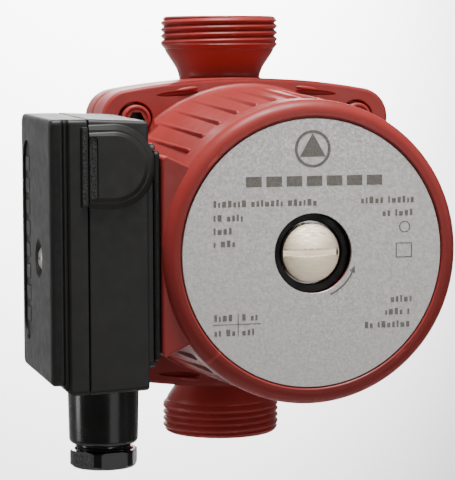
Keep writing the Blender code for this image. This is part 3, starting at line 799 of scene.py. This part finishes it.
def make_nameplate():
    plate = turned_ring("face_plate", PLATE_HOLE_R, PLATE_R, PLATE_FACE, PLATE_FACE + 0.8, (0.15, 0.25, 0, 0),
                        "plate", fine=3, steps=160)
    placed(plate, "pump", "name_plate", "nameplate")
    bm = bmesh.new()
    mark = (-0.2, 32.4)
    flat_ring(bm, mark, 4.9, 5.8)
    flat_shape(bm, on_circle(4.9, (90, 210, 330), mark))
    for index in range(7):
        bar(bm, -21.6 + 6.5 * index, -16.6 + 6.5 * index, 20.9, 24.1)
    for low, high, z in ((-31.9, 2.1, 15.9), (-31.9, -22.6, 11.6), (-31.9, -25.6, 7.6), (-31.9, -24.6, 3.7),
                         (15.6, 32.9, 16.2), (22.6, 32.6, 12.1), (25.4, 32.3, -15.0), (23.6, 32.3, -19.0),
                         (16.9, 32.3, -23.0), (-31.8, -26.0, -19.2), (-22.9, -17.6, -19.2),
                         (-31.8, -25.2, -23.8), (-22.9, -18.2, -23.8)):
        greeked(bm, low, high, z, seed=int(abs(low + z)))
    flat_ring(bm, (29.9, 7.6), 1.5, 1.85, steps=24)
    square = ((27.0, 32.4, -2.1, -1.75), (27.0, 32.4, 2.3, 2.65), (27.0, 27.35, -1.75, 2.3),
              (32.05, 32.4, -1.75, 2.3))
    for lines in (*square, (-32.3, -17.0, -21.45, -21.15), (-24.35, -24.05, -25.0, -18.0)):
        bar(bm, *lines)
    start, end, reach = math.radians(-67), math.radians(-26), 14.1
    flat_ring(bm, (0, 0), reach - 0.28, reach + 0.28, start, end, 24)
    tip = []
    for angle, radius in ((end, reach - 1.0), (end, reach + 1.0), (end + math.radians(9), reach)):
        tip.append((radius * math.cos(angle), radius * math.sin(angle)))
    flat_shape(bm, tip)
    placed(add("face_print", bm, "ink"), "pump", "name_plate")


def make_vent():
    dome = [(radius, -112.6 + 0.6 * (radius / VENT_R) ** 2) for radius in (0, 1.5, 3.0, 4.5, 6.0, 7.5, 8.6)]
    profile = dome + rounded([(8.8, -112.04), (VENT_R, -112.0, 0.3), (VENT_R, -110.6, 0.15), (6.3, -110.6),
                              (6.3, -103.9, 0.6), (0, -103.9)], 4)
    screw = revolve("vent_plug_turned", profile, "nickel", "Y", steps=128)
    cut(screw, prism("slot", rectangle((-8.85, -0.88), (8.85, 0.88)), "Y", -114.0, -110.95, "nickel"))
    softened(screw, 0.12, 2, 50.0)
    placed(screw, "vent_plug", "nickel_brass", "vent_screw")
    recess_ring = turned_ring("vent_ring_moulded", 9.9, 12.55, -111.6, -109.4, (0.5, 0.3, 0.2, 0.2), "rubber")
    placed(recess_ring, "pump", "rubber", "vent_recess_ring")
    seal = turned_ring("vent_seal_moulded", 6.6, 8.8, -110.3, -109.4, (0.4, 0.4, 0.4, 0.4), "rubber")
    placed(seal, "vent_seal_carrier", "rubber", "vent_seal")


# ------------------------------------------------------------------ terminal box

def half_round(radius, left):
    arc = on_circle(radius, [7.5 * step - 90 for step in range(25)], (BOSS_X, BOSS_Z))
    return [(left, BOSS_Z - radius)] + arc + [(left, BOSS_Z + radius)]


def drafted(name, outline, steps):
    """A boss on the front of the box: the outline is scaled about its centre at each (station, growth)."""
    bm = bmesh.new()
    rings = []
    for station, growth in steps:
        spots = []
        for x, z in outline:
            offset = Vector((x - BOSS_X, z - BOSS_Z))
            reach = offset.length
            spot = Vector((BOSS_X, BOSS_Z)) + offset * ((reach + growth) / reach)
            spots.append(bm.verts.new(Vector((max(spot.x, outline[0][0]), station, spot.y)) * MM))
        rings.append(spots)
    skin(bm, rings)
    return add(name, bm, "black", 50.0)


def step_profile(face, foot, radius, spread):
    """Stations and growths of a boss whose side slopes out to its foot and whose edge is rounded."""
    corners = [(foot + 0.6, spread + 0.35), (foot, spread + 0.35), (foot - 0.25, spread, 0.2),
               (face, 0.0, radius), (face, -1.0)]
    return rounded(corners, 5)


def make_box_base():
    left = PARTING + 0.15
    draft = 0.75
    stations = []
    for x, inset, side in ((left, 0.4, 0.4), (left + 0.12, 0.12, 0.12), (left + 0.45, 0.0, 0.0),
                           (BASE_RIGHT - 0.9, draft, 0.1), (BASE_RIGHT - 0.4, draft + 0.12, 0.22),
                           (BASE_RIGHT - 0.1, draft + 0.4, 0.5), (BASE_RIGHT, draft + 0.8, 0.9)):
        stations.append((x, BOX_FRONT + side, BOX_BACK - side, -BOX_HALF_Z + inset, BOX_HALF_Z - inset))
    base = box_loft("box_base", stations, "black", corner=1.5)
    neck = prism("neck", rectangle((BOX_FRONT + 0.25, -NECK_HALF_Z), (BOX_BACK - 2.0, NECK_HALF_Z), 2.0), "X",
                 BASE_RIGHT - 0.6, SEAT_X - 1.5, edge=0.5)
    rebate = rectangle((BOX_FRONT - 2.0, -GASKET_HALF_Z - 0.3), (BOX_BACK + 2.0, GASKET_HALF_Z + 0.3))
    cut(neck, prism("rebate", rebate, "X", GASKET_LEFT - 0.3, SEAT_X - 1.0))
    outer = drafted("outer_boss", half_round(BOSS_R - 0.9, left), step_profile(-111.0, BOX_FRONT, 0.5, 1.5))
    inner = drafted("inner_boss", half_round(9.4, left), step_profile(-111.75, -111.0, 0.4, 0.95))
    unite(base, neck, outer, inner)
    room = rectangle((BOX_FRONT + WALL, -BOX_HALF_Z + WALL), (BOX_BACK - WALL, BOX_HALF_Z - WALL), 1.0)
    strip = rounded([(left - 1, BOSS_Z - 9.9), (left + 2.6, BOSS_Z - 9.9, 1.0),
                     (left + 2.6, BOSS_Z + 9.3, 1.4), (left - 1, BOSS_Z + 9.3)], 5, True)
    cut(base, prism("room", room, "X", left - 2, BASE_RIGHT - WALL),
        prism("strip_recess", strip, "Y", -113.0, -111.1))
    unite(base, rod("post", (BASE_RIGHT - 1.5, *COVER_SCREW), (-70.6, *COVER_SCREW), 4.0))
    holes = [rod("post_hole", (-60.0, *COVER_SCREW), (-73, *COVER_SCREW), 1.8),
             rod("lead_hole", (-46, LEAD_Y, 0), (-56, LEAD_Y, 0), 4.0),
             rod("earth_hole", (-50.0, -78, 2), (-56, -78, 2), 2.1),
             disc("cable_bore", 6.5, -75.0, -38.0, axis="Z", centre=(GLAND[0], GLAND[1], 0))]
    for z in (BASE_SCREW_Z, -BASE_SCREW_Z):
        holes.append(rod("screw_hole", (-46, BASE_SCREW_Y, z), (-56, BASE_SCREW_Y, z), 2.3))
    cut(base, *holes)
    raise_top(base)
    placed(base, "pump", "black_plastic", "terminal_box_base")
    outline = rectangle((left + 0.1, BOSS_Z - 9.6), (left + 2.4, BOSS_Z + 9.0), 0.6, 4)
    grip = prism("base_grip_strip", outline, "Y", -111.35, -110.7, "grain", edge=0.12, steps=2)
    placed(grip, "pump", "black_plastic")
    make_gland_body()


def make_gland_body():
    depth = 0.62

    def thread(angle, radius, station):
        if abs(radius - GLAND_THREAD_R) > 1e-6:
            return radius
        phase = (station / 1.5 + angle / math.tau) % 1.0
        return radius - depth * (1.0 - min(1.0, abs(phase - 0.5) * 2.1)) ** 1.2

    start = -BOX_HALF_Z - 0.25
    profile = rounded([(6.5, start), (11.25, start, 0.25), (11.25, start - 0.9), (11.3, start - 1.1, 0.1),
                       (10.95, GLAND_END, 1.7), (9.3, GLAND_END - 0.15), (8.5, GLAND_END - 0.25),
                       (8.45, GLAND_END - 0.5)], 6)
    profile += [(GLAND_THREAD_R, GLAND_END - 0.6 - 0.15 * step) for step in range(1, 25)]
    profile += [(8.4, -64.9), (8.3, -65.3), (7.9, -65.3), (7.9, -58.0), (6.5, -58.0)]
    body = revolve("gland_body", profile, "gloss", "Z", GLAND, 128, shape=thread, degrees=40.0)
    placed(body, "pump", "gland_plastic")


def make_gland_nut():
    nut = prism("gland_nut_hex", hexagon(NUT_FLATS, NUT_TURN), "Z", NUT_END, NUT_TOP, "gloss", place=GLAND)
    turned = rounded([(GLAND_THREAD_R + 0.3, NUT_TOP + 0.5), (NUT_R - 0.5, NUT_TOP + 0.02),
                      (NUT_R - 0.02, NUT_TOP - 0.45, 0.2), (NUT_R, NUT_END + 1.0, 0.5),
                      (NUT_R - 1.0, NUT_END, 0.5), (5.6, NUT_END, 0.5), (5.6, NUT_END + 1.6),
                      (GLAND_THREAD_R + 0.3, NUT_END + 1.6)], 5, True)
    keep_inside(nut, revolve("chamfers", turned, "gloss", "Z", GLAND, 144))
    softened(nut, 0.22, 3, 25.0)
    facet = math.radians(NUT_TURN + 210)
    direction = Vector((math.cos(facet), math.sin(facet), 0))
    half = math.tan(math.radians(21)) * NUT_FLATS / 2
    across = Vector((-direction.y, direction.x, 0))
    outline = rectangle((-half, NUT_END + 1.1), (half, NUT_TOP - 0.55), 0.3, 3)
    grip = prism("nut_grain", outline, "Y", -0.2, 0.0, "grain", edge=0.06, steps=1)
    frame_of_facet = Matrix((across, -direction, Vector((0, 0, 1)))).transposed().to_4x4()
    frame_of_facet.translation = (Vector((GLAND[0], GLAND[1], 0)) + direction * (NUT_FLATS / 2 - 0.12)) * MM
    grip.data.transform(frame_of_facet)
    placed(grip, "gland_cap", "gland_plastic")
    placed(nut, "gland_cap", "gland_plastic", "gland_nut")
    edges = (0.2, 0.2, 0.2, 0.2)
    clamp = turned_ring("gland_clamp_ring", 4.7, 7.8, -66.5, -65.5, edges, "gloss", "Z", GLAND, 3, 72)
    placed(clamp, "gland_clamp", "gland_plastic", "clamp_ring")
    edges = (0.8, 0.3, 0.3, 0.8)
    seal = turned_ring("gland_seal_moulded", 4.5, 7.6, -65.2, -58.3, edges, "rubber", "Z", GLAND, 5)
    placed(seal, "pump", "rubber", "gland_seal")


def make_base_fixings():
    outline = rectangle((BOX_FRONT - 0.5, -GASKET_HALF_Z), (BOX_BACK - 3.0, GASKET_HALF_Z), 1.6, 8)
    gasket = prism("base_gasket_moulded", outline, "X", GASKET_LEFT, SEAT_X - 0.25, "rubber", edge=0.75,
                   steps=5)
    cut(gasket, rod("hole", (-46, LEAD_Y, 0), (-52, LEAD_Y, 0), 4.0))
    placed(gasket, "pump", "rubber", "base_gasket")
    profile = rounded([(0, -56.1), (3.0, -55.9, 0.6), (3.5, -54.6, 0.6), (3.5, -53.5, 0.1), (2.0, -53.5),
                       (2.0, -43.0, 0.5), (0, -43.0)], 4)
    for side, z in (("upper", BASE_SCREW_Z), ("lower", -BASE_SCREW_Z)):
        screw = revolve(f"base_screw_{side}_turned", profile, "zinc", "X", (0, BASE_SCREW_Y, z), 48)
        cross_recess(screw, (BASE_SCREW_Y, z), -56.1, 1.9, 0.42)
        placed(screw, "pump", "zinc_steel", f"base_screw_{side}")
    profile = rounded([(0, -56.1), (3.3, -56.0, 0.4), (3.3, -53.5, 0.1), (1.8, -53.5), (1.8, -50.5),
                       (0, -50.5)], 4)
    screw = revolve("earth_screw_turned", profile, "brass", "X", (0, -78, 2), 48)
    saw_slot(screw, 4.0, 0.4, -58.0, -55.2, (0, -78, 2))
    placed(screw, "pump", "nickel_brass", "earth_screw")


def saw_slot(screw, reach, half, low, high, place):
    """A straight slot across a brass head that faces -X."""
    cut(screw, prism("slot", rectangle((-reach, -half), (reach, half)), "X", low, high, "brass", place=place))


def cross_recess(screw, place, top, reach, half):
    """A cross recess with tapering depth, cut into a head that faces -X."""
    for wide, high in ((reach, half), (half, reach)):
        bm = bmesh.new()
        rings = []
        for x, share in ((top - 0.6, 1.0), (top, 1.0), (top + 1.6, 0.35)):
            y = wide * (share if wide == reach else 1.0)
            z = high * (share if high == reach else 1.0)
            corners = ((-y, -z), (y, -z), (y, z), (-y, z))
            rings.append([bm.verts.new(Vector((x, place[0] + a, place[1] + b)) * MM) for a, b in corners])
        skin(bm, rings)
        cut(screw, add("cross", bm, "zinc"))


def make_cover():
    right = PARTING - 0.15
    low, high = LID_LOW, LID_HIGH
    front_steps = []
    for step in range(8):
        turn = math.radians(90 * (7 - step) / 7)
        depth, inset = 1 - math.sin(turn), 1 - math.cos(turn)
        front_steps.append((COVER_FACE + 1.7 * depth, 1.2 * inset, 1.7 * inset))
    grooves = ((-78.35, 0.0), (-78.0, 0.15), (-77.85, 0.5), (-77.78, 0.95), (-77.6, 1.0), (-77.5, 0.7),
               (-77.35, 0.45), (-77.1, 0.3), (-76.85, 0.35), (-76.65, 0.6), (-76.5, 1.05), (-76.25, 1.1),
               (-76.15, 0.7), (-75.95, 0.35), (-75.6, 0.1), (-75.2, 0.0), (right - 0.45, 0.0))
    front_steps += [(x, depth, 0.0) for x, depth in grooves]
    front_steps += [(right - 0.12, 0.12, 0.12), (right, 0.4, 0.4)]
    stations = []
    for x, front, edge in front_steps:
        foot = low if x < -77.9 else low + (-BOX_HALF_Z - low) * min(1.0, (x + 77.9) / 2.6) ** 0.7
        stations.append((x, BOX_FRONT + front, BOX_BACK - edge, foot + edge, high - edge))
    cover = box_loft("box_cover", stations, "black")
    strip = rectangle((-72.0, BOSS_Z - BOSS_R), (right, BOSS_Z + BOSS_R), 0.3, 2)
    unite(cover, prism("strip_bar", strip, "Y", -111.05, BOX_FRONT + 0.6, edge=0.5, steps=3))
    room = rectangle((BOX_FRONT + WALL, low + WALL), (BOX_BACK - WALL, high - WALL), 1.0)
    cut(cover, prism("room", room, "X", COVER_FACE + WALL, right + 2))
    unite(cover, rod("sleeve", (-80.5, *COVER_SCREW), (-71.0, *COVER_SCREW), 6.6))
    dish = rounded([(0, -79.6), (3.9, -79.7, 0.8), (6.2, COVER_FACE - 0.1, 0.5), (9.0, -82.4), (0, -82.4)], 4)
    outline = rectangle((-75.6, -29.5), (-62.2, 34.5), 6.6, 14)
    panel = prism("panel", outline, "X", COVER_FACE - 2, COVER_FACE + 0.8)
    cut(cover, revolve("dish", dish, "black", "X", (0, *COVER_SCREW), 64),
        rod("screw_hole", (-82.0, *COVER_SCREW), (-68.0, *COVER_SCREW), 1.9), panel)
    raise_top(cover)
    roof_face(cover)
    paint_faces(cover, "rubber", lambda spot: spot.y < BOX_FRONT + 0.02 and COVER_FACE + 1.0 < spot.x < -78.2)
    placed(cover, "box_cover", "black_plastic", "terminal_cover")
    outline = rectangle((-71.75, BOSS_Z - BOSS_R + 0.6), (-70.5, BOSS_Z + BOSS_R - 0.6), 0.2, 2)
    grip = prism("cover_grip_strip", outline, "Y", -111.2, -110.8, "grain", edge=0.12, steps=2)
    placed(grip, "box_cover", "black_plastic")
    make_cover_pips()
    make_cover_screw()


def raise_top(obj):
    """The top of the terminal box rises towards the back, by 0.65 mm in all."""
    for vertex in obj.data.vertices:
        y, z = vertex.co.yz / MM
        share = min(1.0, max(0.0, (z - 38.0) / 3.0))
        vertex.co.z += 0.65 * (y - BOX_FRONT) / (BOX_BACK - BOX_FRONT) * share * MM


def roof_face(cover):
    """The cover's outer face is very slightly roofed, by 0.14 mm to either side of its ridge."""
    ridge = -80.0
    for vertex in cover.data.vertices:
        x, y = vertex.co.xy / MM
        share = min(1.0, max(0.0, (COVER_FACE + 1.3 - x) / 1.3))
        fall = 0.14 * max((ridge - y) / 30.0, (y - ridge) / 22.0)
        vertex.co.x += fall * share * MM


def make_cover_pips():
    """A row of plain raised bars on the cover's recessed panel."""
    bm = bmesh.new()
    for index in range(8):
        z = -23.6 + 6.9 * index
        cuboid(bm, (COVER_FACE + 0.35, -72.4, z), (COVER_FACE + 1.6, -65.6, z + 4.6))
    placed(softened(add("cover_pips", bm, "black"), 0.3), "box_cover", "black_plastic")


def make_cover_screw():
    profile = rounded([(0, -81.75), (2.2, -81.6, 1.2), (3.5, -80.9, 0.5), (3.7, -79.9, 0.1), (1.5, -79.9),
                       (1.5, -62.6, 0.3), (0, -62.0)], 5)
    screw = revolve("cover_screw_turned", profile, "zinc", "X", (0, *COVER_SCREW), 64)
    cross_recess(screw, COVER_SCREW, -81.75, 2.0, 0.45)
    placed(screw, "cover_fixing", "zinc_steel", "cover_screw")


def make_box_contents():
    centre = (-63.7, 0, 27.5)
    profile = rounded([(0, -106.0), (8.6, -106.0, 0.4), (8.9, -105.0), (10.0, -104.6, 0.5),
                       (10.0, -101.6, 0.4), (9.7, -101.2), (9.7, -65.6), (9.4, -64.0, 0.8), (0, -64.0)], 4)
    can = revolve("capacitor_can", profile, "capacitor", "Y", centre)
    placed(can, "pump", "grey_plastic", "capacitor")
    outer = on_circle(11.4, range(50, 311, 5))
    inner = on_circle(10.5, range(310, 49, -5))
    foot = 10.2
    turn = [(foot, outer[-1][1]), (foot, inner[0][1])]
    clip = [(foot, outer[0][1])] + outer + turn + inner + [(foot, inner[-1][1])]
    placed(prism("capacitor_spring_clip", clip, "Y", -88.0, -82.0, "zinc", place=centre, edge=0.12, steps=2),
           "pump", "zinc_steel", "capacitor_clip")
    outline = rectangle((-104.0, -33.0), (-70.0, -17.0), 1.0)
    block = prism("terminal_block_moulded", outline, "X", -62.0, -53.5, "cream", edge=0.5)
    cutters = []
    for y in TERMINALS:
        cutters.append(rod("well", (-56.0, y, -25), (-64, y, -25), 2.6))
        cutters.append(rod("wire_entry", (-58.0, y, -35), (-58.0, y, -14), 1.7))
    for y in (-92.0, -82.0):
        outline = rectangle((y - 0.6, -34.0), (y + 0.6, -16.0))
        cutters.append(prism("gap", outline, "X", -64.0, -59.5, "cream"))
    cut(block, *cutters)
    placed(block, "pump", "composite", "terminal_block")
    for number, y in enumerate(TERMINALS, 1):
        screw = disc(f"terminal_screw_{number}_turned", 2.2, -61.5, -56.3, "brass", "X", (0, y, -25), 0.3)
        saw_slot(screw, 3.0, 0.35, -63.0, -60.6, (0, y, -25))
        placed(screw, "pump", "nickel_brass", f"terminal_screw_{number}")
    make_lead_sleeve()


def make_lead_sleeve():
    route = [(x, LEAD_Y, 0) for x in (-41.5, -44, -46.5, -49, -51.5)]
    route += [(-54, -98.9, -0.6), (-56.4, -98.6, -2.2), (-58.3, -98.2, -4.6), (-59.4, -97.8, -7.4),
              (-59.8, -97.4, -10.4), (-59.8, -97.1, -13.4), (-59.8, -97, -16.5)]
    curve = bpy.data.curves.new("lead_sleeve_woven", "CURVE")
    curve.dimensions = "3D"
    spline = curve.splines.new("NURBS")
    spline.points.add(len(route) - 1)
    for point, place in zip(spline.points, route):
        point.co = (*(Vector(place) * MM), 1.0)
    spline.use_endpoint_u = True
    spline.order_u = 3
    curve.bevel_depth = 2.15 * MM
    curve.bevel_resolution = 6
    curve.use_fill_caps = True
    curve.materials.append(FINISH["sleeve"])
    placed(linked("lead_sleeve_woven", curve), "pump", "grey_plastic", "lead_sleeve")


# ------------------------------------------------------------------ carried-over CAD nodes

CARRIED = {
    "neck_ring": "stainless", "housing_gasket": "rubber", "rotor_can": "stainless",
    "bearing_plate": "stainless", "inboard_bearing": "ceramic", "outboard_bearing": "ceramic",
    "stator_core": "laminations", "winding_front": "copper", "winding_rear": "copper", "shaft": "ceramic",
    "rotor": "stainless", "thrust_bearing": "carbon", "impeller": "composite",
}


def finish_cad_nodes():
    for name, finish in CARRIED.items():
        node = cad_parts[name]
        if not node.material_slots:
            node.data.materials.append(FINISH[finish])
        for material_slot in node.material_slots:
            material_slot.material = FINISH[finish]


# ------------------------------------------------------------------ stage, lights and camera

def make_stage():
    """A pale floor well below the pump, which hangs on its pipe line, curving up into a backdrop."""
    bm = bmesh.new()
    floor = -1.25
    reach, bend, height = 0.95, 0.45, 1.6
    outline = [(-2.2, floor)]
    for step in range(17):
        angle = math.radians(90 * step / 16)
        outline.append((reach + bend * math.sin(angle), floor + bend * (1 - math.cos(angle))))
    outline.append((reach + bend, height))
    rows = [[bm.verts.new((x, y, z)) for x in (-3.0, 3.0)] for y, z in outline]
    for one, other in zip(rows, rows[1:]):
        bm.faces.new((one[0], one[1], other[1], other[0]))
    mesh = bpy.data.meshes.new("stage")
    bm.to_mesh(mesh)
    bm.free()
    mesh.shade_smooth()
    stage = linked("stage", mesh)
    m = Nodes("stage_paper", Roughness=0.9)
    m.colour(m.ramp(m.noise(3.0, 2.0), ((0.3, (0.86, 0.855, 0.855)), (0.7, (0.88, 0.875, 0.875)))))
    mesh.materials.append(m.material)


def aimed_light(name, light, place, aim):
    obj = linked(name, light)
    obj.location = place
    obj.rotation_euler = (Vector(aim) - Vector(place)).to_track_quat("-Z", "Y").to_euler()


def area_light(name, place, aim, size, power):
    light = bpy.data.lights.new(name, "AREA")
    light.shape = "RECTANGLE"
    light.size, light.size_y = size
    light.energy = power
    aimed_light(name, light, place, aim)


def make_lights():
    area_light("overhead", (-0.06, -0.23, 0.95), (0, -0.04, 0), (0.42, 0.28), 21.0)
    area_light("side_left", (-1.05, 0.12, 0.12), (-0.03, -0.06, 0), (0.30, 0.8), 3.8)
    area_light("front_card", (0.50, -1.28, -0.30), (0, -0.11, 0), (0.70, 0.50), 0.9)
    area_light("vent_card", (0.34, -1.30, 0.13), (0, -0.11, 0), (0.27, 0.20), 2.2)
    area_light("side_right", (0.85, -0.45, 0.20), (0, -0.06, 0), (0.10, 0.7), 0.9)
    pool = bpy.data.lights.new("backdrop", "SPOT")
    pool.energy = 1100.0
    pool.spot_size = math.radians(42)
    pool.spot_blend = 1.0
    pool.shadow_soft_size = 0.15
    aimed_light("backdrop", pool, (0.34, 0.42, 1.10), (0.28, 1.40, 0.12))
    world = bpy.data.worlds.new("studio")
    bpy.context.scene.world = world
    world.use_nodes = True
    background = world.node_tree.nodes["Background"]
    background.inputs["Color"].default_value = (1.0, 0.98, 0.96, 1.0)
    background.inputs["Strength"].default_value = 0.08


def make_camera():
    """Close portrait view from the left and a little above."""
    azimuth, down, roll = math.radians(14.9), math.radians(5.14), math.radians(-0.2)
    forward = Vector((math.sin(azimuth) * math.cos(down), math.cos(azimuth) * math.cos(down),
                      -math.sin(down)))
    level = Vector((math.cos(azimuth), -math.sin(azimuth), 0))
    upright = level.cross(forward)
    right = level * math.cos(roll) + upright * math.sin(roll)
    up = upright * math.cos(roll) - level * math.sin(roll)
    camera = bpy.data.cameras.new("camera")
    camera.sensor_fit = "AUTO"
    camera.sensor_width = 36.0
    camera.lens = 156.6
    camera.clip_start, camera.clip_end = 0.01, 20.0
    obj = linked("camera", camera)
    matrix = Matrix((right, up, -forward)).transposed().to_4x4()
    matrix.translation = Vector((-0.19135, -0.7301, 0.0622))
    obj.matrix_world = matrix
    bpy.context.scene.camera = obj


def main():
    make_camera()
    make_pump_casting()
    make_motor_shell()
    make_cap_screws()
    make_nameplate()
    make_vent()
    make_box_base()
    make_base_fixings()
    make_gland_nut()
    make_cover()
    make_box_contents()
    finish_cad_nodes()
    make_stage()
    make_lights()


main()
